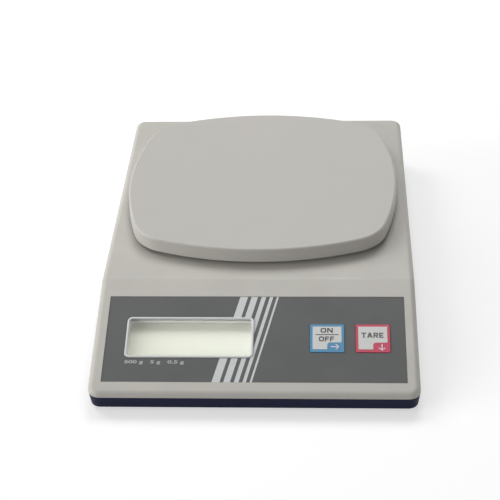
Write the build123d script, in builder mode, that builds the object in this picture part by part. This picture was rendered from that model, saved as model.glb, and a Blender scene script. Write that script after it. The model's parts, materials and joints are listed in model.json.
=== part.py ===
from build123d import *
import os
from math import atan2, cos, degrees, sin

os.makedirs("parts", exist_ok=True)

# Precision scale, in millimetres: X to the right, Y to the rear, Z up from the table.

# Housing
WIDTH = 170.0
DEPTH = 244.0
DECK_HEIGHT = 33.2
FRONT_HEIGHT = 12.4
PANEL_RUN = 70.9
SEAM_HEIGHT = 9.56
UNDERSIDE = 2.2
CORNER_RADIUS = 6.4
EDGE_RADIUS = 3.0
CREASE_RADIUS = 6.0
SIDE_DRAFT = 1.35
WALL = 2.5
FLOOR = 2.2
BASE_INSET = 1.0
BASE_CHAMFER = 0.4
TONGUE = 1.2
TONGUE_HEIGHT = 2.0
TONGUE_FIT = 0.15
TONGUE_FRONT_GAP = 12.0
RIB = 1.6
RIB_HEIGHT = 3.0
RIB_SPREAD = 46.0

# Front sheet and display opening, placed down the slope from the crease
OVERLAY_MARGIN = 6.8
OVERLAY_LENGTH = 54.2
OVERLAY_THICKNESS = 0.4
OVERLAY_SINK = 0.2
OVERLAY_START = 12.4
OVERLAY_CORNER = 0.6
OVERLAY_FIT = 0.15
WINDOW_WIDTH = 67.0
WINDOW_LENGTH = 25.6
WINDOW_CORNER = 2.8
WINDOW_RIM = 1.1
WINDOW_RIM_PROUD = 0.25
WINDOW_RIM_EDGE = 0.35
WINDOW_MARGIN = 10.5
WINDOW_DROP = 38.8
LENS_DEPTH = 1.2
LENS_THICKNESS = 1.0
LENS_LIP = 0.6
LENS_FIT = 0.1
COLLAR_WALL = 1.5

# Display, board and keys
GLASS_DEPTH = 5.0
GLASS_THICKNESS = 2.2
GLASS_LIP = 0.9
STRIP_HEIGHT = 2.2
STRIP_WIDTH = 1.8
STRIP_END = 3.9
HOLDER_WALL = 1.0
HOLDER_FLOOR = 1.0
PART_GAP = 0.15
BOARD_THICKNESS = 1.6
BOARD_MARGIN = 9.0
BOARD_START = 13.0
BOARD_CORNER = 1.0
BOARD_SCREW_EDGE = 3.0
BOARD_SCREW_TO_KEY = 4.6
BOARD_SCREW_DROPS = (17.5, 46.0)
BOARD_BOSS_RADIUS = 2.8
BOARD_SCREW_RADIUS = 1.2
BOARD_SCREW_LENGTH = 7.0
BOARD_HEAD_RADIUS = 2.4
BOARD_HEAD_HEIGHT = 1.4
CAPACITOR_RADIUS = 2.5
CAPACITOR_HEIGHT = 5.0
KEY_WIDTH = 17.8
KEY_LENGTH = 17.5
KEY_CORNER = 0.8
KEY_PITCH = 23.75
KEY_MARGIN = 8.0
KEY_DROP = 39.2
KEY_FIT = 0.2
KEY_PROUD = 0.1
KEY_FLANGE = 1.0
KEY_FLANGE_THICKNESS = 1.0
KEY_STEM_RADIUS = 2.5
KEY_TRAVEL = 0.4
SWITCH_SIZE = 6.0
SWITCH_HEIGHT = 3.5
PLUNGER_RADIUS = 1.7
PLUNGER_FIT = 0.08
PLUNGER_REACH = 1.5
PLUNGER_BORE = 2.2

# Weighing plate
PLATE_WIDTH = 155.8
PLATE_DEPTH = 148.2
PLATE_BOW = 160.0
PLATE_CORNER = 24.0
PLATE_FORWARD = 0.15
PLATE_GAP = 2.3
PLATE_SKIRT = 8.0
PLATE_FLARE = 0.3
PLATE_EDGE_RADIUS = 1.2
PLATE_WALL = 2.1
PLATE_RIB = 1.6
PLATE_RIB_DEPTH = 2.0
CUP_DEPTH = 3.2
CUP_WALL = 1.5

# Load cell and carrier
CELL_LENGTH = 80.0
CELL_SIZE = 12.7
CELL_HEIGHT = 10.0
CELL_EYE_RADIUS = 4.6
CELL_EYE_X = 8.0
CELL_SLOT = 3.0
CELL_SCREWS_X = (20.0, 35.0)
CELL_BORE_DEPTH = 9.0
CELL_PAD = 27.0
SPACER = 2.0
GAUGE_LENGTH = 26.0
GAUGE_WIDTH = 10.0
GAUGE_THICKNESS = 0.8
GAUGE_CORNER = 1.0
CARRIER_THICKNESS = 4.0
CARRIER_ARM = 9.0
CARRIER_RIB = 1.6
CARRIER_RIB_HEIGHT = 1.2
CARRIER_DISC = 17.0
CARRIER_EYE = 9.0
CARRIER_HUB_LENGTH = 34.0
CARRIER_HUB_WIDTH = 22.0
POST_X = 52.0
POST_Y = 46.0
POST_RADIUS = 4.5
POST_FOOT = 6.5
POST_HOLE_RADIUS = 7.0
DRIP_RING = 2.0
DRIP_RING_HEIGHT = 1.2
BUMPER_RADIUS = 4.8
BUMPER_HEIGHT = 3.0
BUMPER_STUB_RADIUS = 1.5
BUMPER_STUB = 3.5
BUMPER_FIT = 0.4
OVERLOAD_X = 30.0
OVERLOAD_GAP = 0.5
OVERLOAD_BOSS = 1.0
OVERLOAD_NUT = 2.2
OVERLOAD_NUT_WIDTH = 7.0

# Fasteners
M4_RADIUS = 2.0
M4_HEAD_RADIUS = 3.5
M4_HEAD_HEIGHT = 2.4
M3_RADIUS = 1.45
M3_HEAD_RADIUS = 2.8
M3_HEAD_HEIGHT = 2.0
SCREW_FIT = 0.05
HEAD_FIT = 0.4
SHELL_SEAT = 2.4
CELL_SEAT = 3.0
BOSS_RADIUS = 4.0
BOSS_GAP = 0.1
JOIN_HEIGHT = 14.0
JOIN_HEIGHT_FRONT = 7.4
BITE = 9.0
BITE_FRONT = 3.2
BORE_SPARE = 0.6
REAR_SCREW_EDGE = 9.0
FRONT_SCREW_EDGE = 8.0
SIDE_SCREW_EDGE = 9.0
SIDE_SCREW_BACK = 15.1
SCREW_CORNER_GAP = 35.0

# Battery bay on the underside
BATTERY_LENGTH = 46.5
BATTERY_WIDTH = 26.5
BATTERY_HEIGHT = 17.5
BATTERY_CORNER = 2.5
BATTERY_FIT = 0.3
TERMINAL_RADII = (2.8, 3.9)
TERMINAL_PITCH = 12.7
TERMINAL_HEIGHT = 2.0
BAY_WALL = 1.5
BAY_LENGTH = 58.0
BAY_BACK = 32.1
BAY_SPARE = 0.5
LATCH_SPACE = 1.7
COVER_PLATE = 1.3
COVER_STEP = 0.7
COVER_RIM = 2.2
COVER_FIT = 0.2
COVER_LIFT = 0.1
TAB_X = 18.0
TAB_WIDTH = 8.0
TAB_REACH = 2.0
TAB_THICKNESS = 0.8
TAB_HEADROOM = 4.0
LATCH_WIDTH = 14.0
LATCH_THICKNESS = 1.0
LATCH_HEIGHT = 2.5
LATCH_GRIP_RADIUS = 6.0
LATCH_GRIP_DEPTH = 0.6
LATCH_GRIP_RIDGE = 0.8
LATCH_GRIP_PITCH = 2.4
SNAP_THICKNESS = 4.4
SNAP_WIDTH = 25.0
SNAP_HEIGHT = 13.0
SNAP_FIT = 0.3

# Rear socket, feet and leads
SOCKET_X = 20.0
SOCKET_HEIGHT = 17.0
SOCKET_WIDTH = 9.0
SOCKET_LENGTH = 12.0
SOCKET_BODY_HEIGHT = 11.0
BARREL_RADIUS = 4.0
BARREL_BORE = 3.0
BARREL_BORE_DEPTH = 9.0
BARREL_PIN = 1.0
BARREL_RECESS = 0.3
CRADLE_WALL = 1.2
CRADLE_GRIP = 4.0
FOOT_SIDE_EDGE = 15.0
FOOT_END_EDGE = 16.0
FOOT_RADIUS = 7.0
FOOT_SEAT = 1.0
FOOT_EDGE = 0.8
LEAD_RADIUS = 0.75
LEAD_GAP = 1.9
LEAD_BEND = 3.0
CABLE_RADIUS = 1.5
CABLE_BEND = 5.0
CABLE_OUT = 12.0
SOCKET_LEAD_OUT = 9.2
SOCKET_LEAD_FALL = 10.0
SOCKET_LEAD_ASIDE = 8.0
SOCKET_LEAD_EDGE = 21.0
SOCKET_LEAD_SLANT = 4.0
BATTERY_LEAD_OUT = 4.0
BATTERY_LEAD_BEND = 1.8
PLUG_WIDTH = 7.5
PLUG_LENGTH = 5.0
PLUG_HEIGHT = 3.5
PLUG_EDGE = 18.0
PLUG_SIGNAL_EDGE = 32.0
PLUG_BATTERY_X = 8.0
PLUG_DROP = 18.5
PLUG_LEAD_OUT = 10.0

# Sizes that follow from these
SLOPE = atan2(DECK_HEIGHT - FRONT_HEIGHT, PANEL_RUN)
SHEET_SEAT = OVERLAY_SINK + OVERLAY_THICKNESS
CREASE_Y = PANEL_RUN - DEPTH / 2
FLOOR_TOP = UNDERSIDE + FLOOR
PLATE_Y = (CREASE_Y + DEPTH / 2) / 2 - PLATE_FORWARD
BAY_REAR = CREASE_Y + BAY_BACK
OVERLAY_WIDTH = WIDTH - 2 * OVERLAY_MARGIN
WINDOW_X = WINDOW_MARGIN + WINDOW_WIDTH / 2 - OVERLAY_WIDTH / 2
TARE_X = OVERLAY_WIDTH / 2 - KEY_MARGIN - KEY_WIDTH / 2
INNER_INSET = WALL + TONGUE_FIT + TONGUE
LENS_WIDTH = WINDOW_WIDTH - 2 * WINDOW_RIM + 2 * LENS_LIP
LENS_LENGTH = WINDOW_LENGTH - 2 * WINDOW_RIM + 2 * LENS_LIP
COLLAR_DEPTH = GLASS_DEPTH - PART_GAP
BOARD_DEPTH = GLASS_DEPTH + GLASS_THICKNESS + STRIP_HEIGHT
BOARD_UNDER = BOARD_DEPTH + BOARD_THICKNESS
GLASS_WIDTH = LENS_WIDTH + 2 * GLASS_LIP
GLASS_LENGTH = LENS_LENGTH + 2 * GLASS_LIP
STRIP_LENGTH = GLASS_WIDTH - 2 * STRIP_END
HOLDER_WIDTH = GLASS_WIDTH + 2 * (PART_GAP + HOLDER_WALL)
HOLDER_LENGTH = GLASS_LENGTH + 2 * (PART_GAP + HOLDER_WALL)
BOARD_LENGTH = WINDOW_DROP + HOLDER_LENGTH / 2 - BOARD_START
BOARD_WIDTH = WIDTH - 2 * BOARD_MARGIN
BOARD_EDGE = BOARD_WIDTH / 2
SWITCH_DEPTH = BOARD_DEPTH - SWITCH_HEIGHT
KEY_FLANGE_DEPTH = WALL + 0.5 * PART_GAP
CELL_TOP = CELL_HEIGHT + CELL_SIZE
CARRIER_HEIGHT = CELL_TOP + SPACER
CARRIER_TOP = CARRIER_HEIGHT + CARRIER_THICKNESS
PLATE_BOTTOM = DECK_HEIGHT + PLATE_GAP
PLATE_TOP = PLATE_BOTTOM + PLATE_SKIRT
PLATE_INSIDE = PLATE_TOP - PLATE_WALL
POST_TOP = PLATE_INSIDE - BUMPER_HEIGHT
HEAD_SEAT = UNDERSIDE + SHELL_SEAT
CELL_HEAD_SEAT = UNDERSIDE + CELL_SEAT
COVER_TOP = UNDERSIDE + COVER_PLATE + COVER_STEP
BATTERY_HEIGHT_FROM = COVER_TOP + BATTERY_FIT
BAY_DEPTH = BATTERY_WIDTH + 2 * BAY_SPARE + LATCH_SPACE
BAY_Y = BAY_REAR - BAY_DEPTH / 2
BAY_TOP = BATTERY_HEIGHT_FROM + BATTERY_HEIGHT + BATTERY_FIT
BATTERY_X = BAY_SPARE + BATTERY_LENGTH / 2 - BAY_LENGTH / 2
BATTERY_Y = BAY_REAR - BAY_SPARE - BATTERY_WIDTH / 2
BATTERY_END = BATTERY_X + BATTERY_LENGTH / 2
FOOT_X = WIDTH / 2 - FOOT_SIDE_EDGE
FOOT_Y = DEPTH / 2 - FOOT_END_EDGE
PLUG_X = (PLUG_SIGNAL_EDGE - BOARD_EDGE, PLUG_BATTERY_X, BOARD_EDGE - PLUG_EDGE)

POSTS = [(x, PLATE_Y + y) for x in (-POST_X, POST_X) for y in (-POST_Y, POST_Y)]
FEET = {
    "foot_front_left": (-FOOT_X, -FOOT_Y),
    "foot_front_right": (FOOT_X, -FOOT_Y),
    "foot_rear_left": (-FOOT_X, FOOT_Y),
    "foot_rear_right": (FOOT_X, FOOT_Y),
}
BUMPERS = {
    "bumper_front_left": POSTS[0],
    "bumper_rear_left": POSTS[1],
    "bumper_front_right": POSTS[2],
    "bumper_rear_right": POSTS[3],
}
KEYS = {"on_off": TARE_X - KEY_PITCH, "tare": TARE_X}

# Screw places of the two shells, with the height where they meet and the bite above it
CORNER_SCREW_X = WIDTH / 2 - SCREW_CORNER_GAP
SIDE_SCREW_X = WIDTH / 2 - SIDE_SCREW_EDGE
REAR_SCREW_Y = DEPTH / 2 - REAR_SCREW_EDGE
SIDE_SCREW_Y = CREASE_Y + SIDE_SCREW_BACK
FRONT_SCREW_Y = FRONT_SCREW_EDGE - DEPTH / 2
SHELL_SCREWS = (
    ([(-CORNER_SCREW_X, REAR_SCREW_Y), (CORNER_SCREW_X, REAR_SCREW_Y)], JOIN_HEIGHT, BITE),
    ([(-SIDE_SCREW_X, SIDE_SCREW_Y), (SIDE_SCREW_X, SIDE_SCREW_Y)], JOIN_HEIGHT, BITE),
    ([(-CORNER_SCREW_X, FRONT_SCREW_Y), (CORNER_SCREW_X, FRONT_SCREW_Y)], JOIN_HEIGHT_FRONT, BITE_FRONT),
)

# Board screws: two at the board's rear corners, one at its front left and one beside the keys
board_screw_x = BOARD_EDGE - BOARD_SCREW_EDGE
key_screw_x = KEYS["on_off"] - KEY_WIDTH / 2 - BOARD_SCREW_TO_KEY
rear_drop, front_drop = BOARD_SCREW_DROPS
BOARD_SCREWS = [(-board_screw_x, -rear_drop), (board_screw_x, -rear_drop)]
BOARD_SCREWS += [(-board_screw_x, -front_drop), (key_screw_x, -front_drop)]

# Chips and capacitors under the board: place, size and height
CHIPS = (
    ((30.0, -24.0), (14.0, 14.0), 1.6),
    ((-20.0, -22.0), (9.0, 6.0), 1.4),
    ((14.0 - BOARD_EDGE, -28.0), (6.0, 5.0), 1.4),
    ((44.0, -30.0), (11.0, 4.5), 3.4),
)
CAPACITORS = [(-30.0, -24.0), (-37.0, -24.0), (BOARD_EDGE - 10.0, -26.0)]


def level(height):
    """Plane parallel to the table."""
    return Plane.XY.offset(height)


def panel(depth):
    """Plane parallel to the sloping panel, that deep below it. Its Y runs up the slope to the crease."""
    origin = (0, CREASE_Y + depth * sin(SLOPE), DECK_HEIGHT - depth * cos(SLOPE))
    return Plane(origin=origin, x_dir=(1, 0, 0), z_dir=(0, -sin(SLOPE), cos(SLOPE)))


def column(plane, points, radius, height, mode=Mode.ADD):
    """Round columns or bores of one size, square to a plane."""
    with BuildSketch(plane) as rounds:
        with Locations(*points):
            Circle(radius)
    extrude(rounds.sketch, amount=height, mode=mode)


def block(plane, centre, size, height, radius=0, mode=Mode.ADD):
    """Rectangular block or pocket, square to a plane, with its upright corners rounded by radius."""
    with BuildSketch(plane) as outline:
        with Locations(centre):
            if radius:
                RectangleRounded(*size, radius)
            else:
                Rectangle(*size)
    extrude(outline.sketch, amount=height, mode=mode)


def finish(builder, name):
    """Names a finished sub-part and writes it."""
    builder.part.label = name
    export_step(builder.part, f"parts/{name}.step")


def upper_form(inset, low):
    """Solid within the upper housing's faces, drawn in by inset, from the height low up."""
    with BuildPart() as form:
        with BuildSketch(level(low)):
            RectangleRounded(WIDTH - 2 * inset, DEPTH - 2 * inset, CORNER_RADIUS - inset)
        extrude(amount=DECK_HEIGHT - inset - low, taper=SIDE_DRAFT)
        block(panel(inset), (0, -DEPTH / 2), (2 * WIDTH, DEPTH), DECK_HEIGHT, mode=Mode.SUBTRACT)
    return form


# Upper housing: drafted shell whose deck breaks into the sloping panel
upper_outside = upper_form(0, SEAM_HEIGHT)
with upper_outside:
    crease = upper_outside.edges().filter_by(Axis.X).sort_by_distance((0, CREASE_Y, DECK_HEIGHT))[0]
    fillet(crease, CREASE_RADIUS)
    roof = upper_outside.faces().filter_by(lambda face: face.normal_at().Z > cos(2 * SLOPE))
    sides = upper_outside.faces().filter_by(lambda face: abs(face.normal_at().Z) < sin(SLOPE))
    fillet(roof.edges() & sides.edges(), EDGE_RADIUS)

# The space inside it, less the bosses and the collar that stand in that space
upper_inside = upper_form(WALL, SEAM_HEIGHT)
with upper_inside:
    for points, join, bite in SHELL_SCREWS:
        column(level(join), points, BOSS_RADIUS, DECK_HEIGHT, mode=Mode.SUBTRACT)
    column(panel(BOARD_DEPTH), BOARD_SCREWS, BOARD_BOSS_RADIUS, BOARD_DEPTH, mode=Mode.SUBTRACT)
    block(
        panel(COLLAR_DEPTH),
        (WINDOW_X, -WINDOW_DROP),
        (LENS_WIDTH + 2 * COLLAR_WALL, LENS_LENGTH + 2 * COLLAR_WALL),
        COLLAR_DEPTH,
        radius=WINDOW_CORNER,
        mode=Mode.SUBTRACT,
    )

with BuildPart() as upper_housing:
    add(upper_outside.part)
    add(upper_inside.part, mode=Mode.SUBTRACT)
    # Recess of the front sheet, with the window's rim left standing a little proud
    with BuildSketch(panel(SHEET_SEAT)) as recess:
        with Locations((0, -OVERLAY_START - OVERLAY_LENGTH / 2)):
            Rectangle(OVERLAY_WIDTH + 2 * OVERLAY_FIT, OVERLAY_LENGTH + 2 * OVERLAY_FIT)
        with Locations((WINDOW_X, -WINDOW_DROP)):
            RectangleRounded(WINDOW_WIDTH, WINDOW_LENGTH, WINDOW_CORNER, mode=Mode.SUBTRACT)
    extrude(recess.sketch, amount=WALL, mode=Mode.SUBTRACT)
    block(
        panel(0),
        (WINDOW_X, -WINDOW_DROP),
        (WINDOW_WIDTH, WINDOW_LENGTH),
        WINDOW_RIM_PROUD,
        radius=WINDOW_CORNER,
    )
    # Window: a lip at the front and a wider pocket behind it that takes the pane
    block(
        panel(LENS_DEPTH),
        (WINDOW_X, -WINDOW_DROP),
        (WINDOW_WIDTH - 2 * WINDOW_RIM, WINDOW_LENGTH - 2 * WINDOW_RIM),
        WALL,
        radius=WINDOW_CORNER - WINDOW_RIM,
        mode=Mode.SUBTRACT,
    )
    out_of_panel = Axis((0, 0, 0), panel(0).z_dir)
    rim_face = upper_housing.faces().sort_by(out_of_panel)[-1]
    fillet(rim_face.edges(), WINDOW_RIM_EDGE)
    block(
        panel(COLLAR_DEPTH),
        (WINDOW_X, -WINDOW_DROP),
        (LENS_WIDTH, LENS_LENGTH),
        COLLAR_DEPTH - LENS_DEPTH,
        radius=WINDOW_CORNER - WINDOW_RIM + LENS_LIP,
        mode=Mode.SUBTRACT,
    )
    for key_x in KEYS.values():
        block(
            panel(KEY_FLANGE_DEPTH),
            (key_x, -KEY_DROP),
            (KEY_WIDTH + 2 * KEY_FIT, KEY_LENGTH + 2 * KEY_FIT),
            2 * WALL,
            radius=KEY_CORNER + KEY_FIT,
            mode=Mode.SUBTRACT,
        )
    # Drip rings round the four post holes
    column(level(DECK_HEIGHT), POSTS, POST_HOLE_RADIUS + DRIP_RING, DRIP_RING_HEIGHT)
    column(level(DECK_HEIGHT - 2 * WALL), POSTS, POST_HOLE_RADIUS, 4 * WALL, mode=Mode.SUBTRACT)
    # Bores of the shell screws and the board screws
    for points, join, bite in SHELL_SCREWS:
        column(level(join), points, M3_RADIUS + SCREW_FIT, bite + BORE_SPARE, mode=Mode.SUBTRACT)
    column(
        panel(BOARD_DEPTH),
        BOARD_SCREWS,
        BOARD_SCREW_RADIUS + SCREW_FIT,
        BOARD_SCREW_LENGTH - BOARD_THICKNESS + BORE_SPARE,
        mode=Mode.SUBTRACT,
    )
    # Mouth of the rear socket
    column(
        Plane.XZ.offset(-DEPTH / 2 + 2 * WALL),
        [(SOCKET_X, SOCKET_HEIGHT)],
        BARREL_RADIUS + PART_GAP,
        -4 * WALL,
        mode=Mode.SUBTRACT,
    )
finish(upper_housing, "upper_housing")

# Lower housing: shallow tray with the tongue, pillars, pedestal, battery bay and socket cradle
with BuildPart() as lower_housing:
    with BuildSketch(level(UNDERSIDE)):
        RectangleRounded(WIDTH - 2 * BASE_INSET, DEPTH - 2 * BASE_INSET, CORNER_RADIUS - BASE_INSET)
    extrude(amount=SEAM_HEIGHT - UNDERSIDE, taper=-degrees(atan2(BASE_INSET, SEAM_HEIGHT - UNDERSIDE)))
    chamfer(lower_housing.faces().sort_by(Axis.Z)[0].edges(), BASE_CHAMFER)
    # Tongue that stands inside the upper shell, left out at the low front
    outer = WALL + TONGUE_FIT
    with BuildSketch(level(SEAM_HEIGHT)):
        RectangleRounded(WIDTH - 2 * outer, DEPTH - 2 * outer, CORNER_RADIUS - outer)
    extrude(amount=TONGUE_HEIGHT)
    front_cut = (0, TONGUE_FRONT_GAP / 2 - DEPTH / 2)
    block(level(SEAM_HEIGHT), front_cut, (WIDTH, TONGUE_FRONT_GAP), TONGUE_HEIGHT, mode=Mode.SUBTRACT)
    block(
        level(FLOOR_TOP),
        (0, 0),
        (WIDTH - 2 * INNER_INSET, DEPTH - 2 * INNER_INSET),
        DECK_HEIGHT,
        radius=CORNER_RADIUS - INNER_INSET,
        mode=Mode.SUBTRACT,
    )
    for rib_y in (PLATE_Y - RIB_SPREAD / 2, PLATE_Y + RIB_SPREAD / 2):
        block(level(FLOOR_TOP), (0, rib_y), (WIDTH - 2 * INNER_INSET, RIB), RIB_HEIGHT)
    # Pillars under the upper shell's bosses
    for points, join, bite in SHELL_SCREWS:
        column(level(FLOOR_TOP), points, BOSS_RADIUS, join - BOSS_GAP - FLOOR_TOP)
        column(level(UNDERSIDE), points, M3_RADIUS + SCREW_FIT, join, mode=Mode.SUBTRACT)
        column(level(UNDERSIDE), points, M3_HEAD_RADIUS + HEAD_FIT, SHELL_SEAT, mode=Mode.SUBTRACT)
    # Pedestal of the load cell's fixed end
    pedestal_x = CELL_PAD / 2 - CELL_LENGTH / 2
    block(
        level(FLOOR_TOP),
        (pedestal_x, PLATE_Y),
        (CELL_PAD + 2 * RIB, CELL_SIZE + 2 * RIB),
        CELL_HEIGHT - SPACER - FLOOR_TOP,
    )
    cell_points = [(-x, PLATE_Y) for x in CELL_SCREWS_X]
    column(level(UNDERSIDE), cell_points, M4_RADIUS + SCREW_FIT, CELL_HEIGHT, mode=Mode.SUBTRACT)
    column(level(UNDERSIDE), cell_points, M4_HEAD_RADIUS + HEAD_FIT, CELL_SEAT, mode=Mode.SUBTRACT)
    # Boss of the overload stop
    stop = [(OVERLOAD_X, PLATE_Y)]
    column(level(FLOOR_TOP), stop, OVERLOAD_NUT_WIDTH, OVERLOAD_BOSS)
    column(level(UNDERSIDE), stop, M4_RADIUS + SCREW_FIT, CELL_HEIGHT, mode=Mode.SUBTRACT)
    # Battery bay, open to the underside
    block(
        level(FLOOR_TOP),
        (0, BAY_Y),
        (BAY_LENGTH + 2 * BAY_WALL, BAY_DEPTH + 2 * BAY_WALL),
        BAY_TOP + BAY_WALL - FLOOR_TOP,
    )
    block(level(UNDERSIDE), (0, BAY_Y), (BAY_LENGTH, BAY_DEPTH), BAY_TOP - UNDERSIDE, mode=Mode.SUBTRACT)
    # Rebate of its cover on three sides, and the slots of the cover's tabs on the fourth
    block(
        level(UNDERSIDE),
        (0, BAY_Y - COVER_RIM / 2),
        (BAY_LENGTH + 2 * COVER_RIM, BAY_DEPTH + COVER_RIM),
        COVER_PLATE + COVER_LIFT,
        mode=Mode.SUBTRACT,
    )
    slot_reach = TAB_REACH + 2 * COVER_FIT
    for tab_x in (-TAB_X, TAB_X):
        block(
            level(UNDERSIDE + COVER_PLATE),
            (tab_x, BAY_REAR + slot_reach / 2),
            (TAB_WIDTH + 2 * COVER_FIT, slot_reach),
            TAB_HEADROOM - COVER_PLATE,
            mode=Mode.SUBTRACT,
        )
    # Way out for the battery's leads
    lead_gate = (BAY_LENGTH / 2 - 2 * BAY_WALL, BAY_REAR - BAY_DEPTH - BAY_WALL / 2)
    gate_size = (2 * BAY_WALL, 2 * BAY_WALL)
    block(level(BAY_TOP / 2 - LEAD_GAP), lead_gate, gate_size, 3 * LEAD_GAP, mode=Mode.SUBTRACT)
    # Cradle of the rear socket
    socket_front = DEPTH / 2 - WALL - 2 * PART_GAP - SOCKET_LENGTH
    cradle = (SOCKET_X, socket_front + SOCKET_LENGTH / 2 - CRADLE_WALL)
    seat = SOCKET_HEIGHT - SOCKET_BODY_HEIGHT / 2
    cradle_size = (SOCKET_WIDTH + 2 * (CRADLE_WALL + PART_GAP), SOCKET_LENGTH)
    block(level(FLOOR_TOP), cradle, cradle_size, seat + CRADLE_GRIP - FLOOR_TOP)
    block(
        level(seat),
        (SOCKET_X, socket_front + SOCKET_LENGTH / 2),
        (SOCKET_WIDTH + 2 * PART_GAP, SOCKET_LENGTH + 2 * PART_GAP),
        CRADLE_GRIP,
        mode=Mode.SUBTRACT,
    )
    column(level(UNDERSIDE), FEET.values(), FOOT_RADIUS + PART_GAP, FOOT_SEAT, mode=Mode.SUBTRACT)
finish(lower_housing, "lower_housing")

# Front sheet with its cut-outs
with BuildPart() as control_overlay:
    with BuildSketch(panel(SHEET_SEAT)):
        with Locations((0, -OVERLAY_START - OVERLAY_LENGTH / 2)):
            RectangleRounded(OVERLAY_WIDTH, OVERLAY_LENGTH, OVERLAY_CORNER)
        with Locations((WINDOW_X, -WINDOW_DROP)):
            hole = (WINDOW_WIDTH + 2 * PART_GAP, WINDOW_LENGTH + 2 * PART_GAP)
            RectangleRounded(*hole, WINDOW_CORNER + PART_GAP, mode=Mode.SUBTRACT)
        with Locations(*[(x, -KEY_DROP) for x in KEYS.values()]):
            hole = (KEY_WIDTH + 2 * KEY_FIT, KEY_LENGTH + 2 * KEY_FIT)
            RectangleRounded(*hole, KEY_CORNER + KEY_FIT, mode=Mode.SUBTRACT)
    extrude(amount=OVERLAY_THICKNESS)
finish(control_overlay, "control_overlay")

# Clear pane against the back of the window's lip
with BuildPart() as display_window:
    block(
        panel(LENS_DEPTH + LENS_THICKNESS),
        (WINDOW_X, -WINDOW_DROP),
        (LENS_WIDTH - 2 * LENS_FIT, LENS_LENGTH - 2 * LENS_FIT),
        LENS_THICKNESS,
        radius=WINDOW_CORNER - WINDOW_RIM + LENS_LIP - LENS_FIT,
    )
finish(display_window, "display_window")

# Display glass, its holder and its two contact strips
with BuildPart() as display_glass:
    block(
        panel(GLASS_DEPTH + GLASS_THICKNESS),
        (WINDOW_X, -WINDOW_DROP),
        (GLASS_WIDTH, GLASS_LENGTH),
        GLASS_THICKNESS,
    )
finish(display_glass, "display_glass")

strip_drop = GLASS_LENGTH / 2 - STRIP_WIDTH
strip_points = [(WINDOW_X, strip_drop - WINDOW_DROP), (WINDOW_X, -strip_drop - WINDOW_DROP)]
with BuildPart() as display_holder:
    block(
        panel(BOARD_DEPTH),
        (WINDOW_X, -WINDOW_DROP),
        (HOLDER_WIDTH, HOLDER_LENGTH),
        BOARD_DEPTH - GLASS_DEPTH,
        radius=HOLDER_WALL,
    )
    block(
        panel(GLASS_DEPTH + GLASS_THICKNESS),
        (WINDOW_X, -WINDOW_DROP),
        (GLASS_WIDTH + 2 * PART_GAP, GLASS_LENGTH + 2 * PART_GAP),
        GLASS_THICKNESS,
        mode=Mode.SUBTRACT,
    )
    block(
        panel(BOARD_DEPTH),
        (WINDOW_X, -WINDOW_DROP),
        (GLASS_WIDTH - 2 * HOLDER_WALL, GLASS_LENGTH - 4 * STRIP_WIDTH),
        STRIP_HEIGHT - HOLDER_FLOOR,
        mode=Mode.SUBTRACT,
    )
    with BuildSketch(panel(BOARD_DEPTH)) as strip_slots:
        with Locations(*strip_points):
            Rectangle(STRIP_LENGTH + 2 * PART_GAP, STRIP_WIDTH + 2 * PART_GAP)
    extrude(strip_slots.sketch, amount=STRIP_HEIGHT, mode=Mode.SUBTRACT)
finish(display_holder, "display_holder")

with BuildPart() as display_strips:
    with BuildSketch(panel(BOARD_DEPTH)):
        with Locations(*strip_points):
            Rectangle(STRIP_LENGTH, STRIP_WIDTH)
    extrude(amount=STRIP_HEIGHT)
finish(display_strips, "display_strips")

# Main board with its chips, plugs and screws
board_centre = (0, -BOARD_START - BOARD_LENGTH / 2)
with BuildPart() as main_board:
    board_size = (BOARD_WIDTH, BOARD_LENGTH)
    block(panel(BOARD_UNDER), board_centre, board_size, BOARD_THICKNESS, radius=BOARD_CORNER)
    screw_bore = BOARD_SCREW_RADIUS + SCREW_FIT
    column(panel(BOARD_UNDER), BOARD_SCREWS, screw_bore, BOARD_THICKNESS, mode=Mode.SUBTRACT)
finish(main_board, "main_board")

with BuildPart() as board_chips:
    for place, size, height in CHIPS:
        block(panel(BOARD_UNDER + height), place, size, height)
    column(panel(BOARD_UNDER + CAPACITOR_HEIGHT), CAPACITORS, CAPACITOR_RADIUS, CAPACITOR_HEIGHT)
finish(board_chips, "board_chips")

with BuildPart() as board_connectors:
    with BuildSketch(panel(BOARD_UNDER + PLUG_HEIGHT)):
        with Locations(*[(x, -PLUG_DROP) for x in PLUG_X]):
            Rectangle(PLUG_WIDTH, PLUG_LENGTH)
    extrude(amount=PLUG_HEIGHT)
finish(board_connectors, "board_connectors")

with BuildPart() as board_screws:
    column(panel(BOARD_UNDER), BOARD_SCREWS, BOARD_SCREW_RADIUS, BOARD_SCREW_LENGTH)
    column(panel(BOARD_UNDER + BOARD_HEAD_HEIGHT), BOARD_SCREWS, BOARD_HEAD_RADIUS, BOARD_HEAD_HEIGHT)
finish(board_screws, "board_screws")

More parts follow.
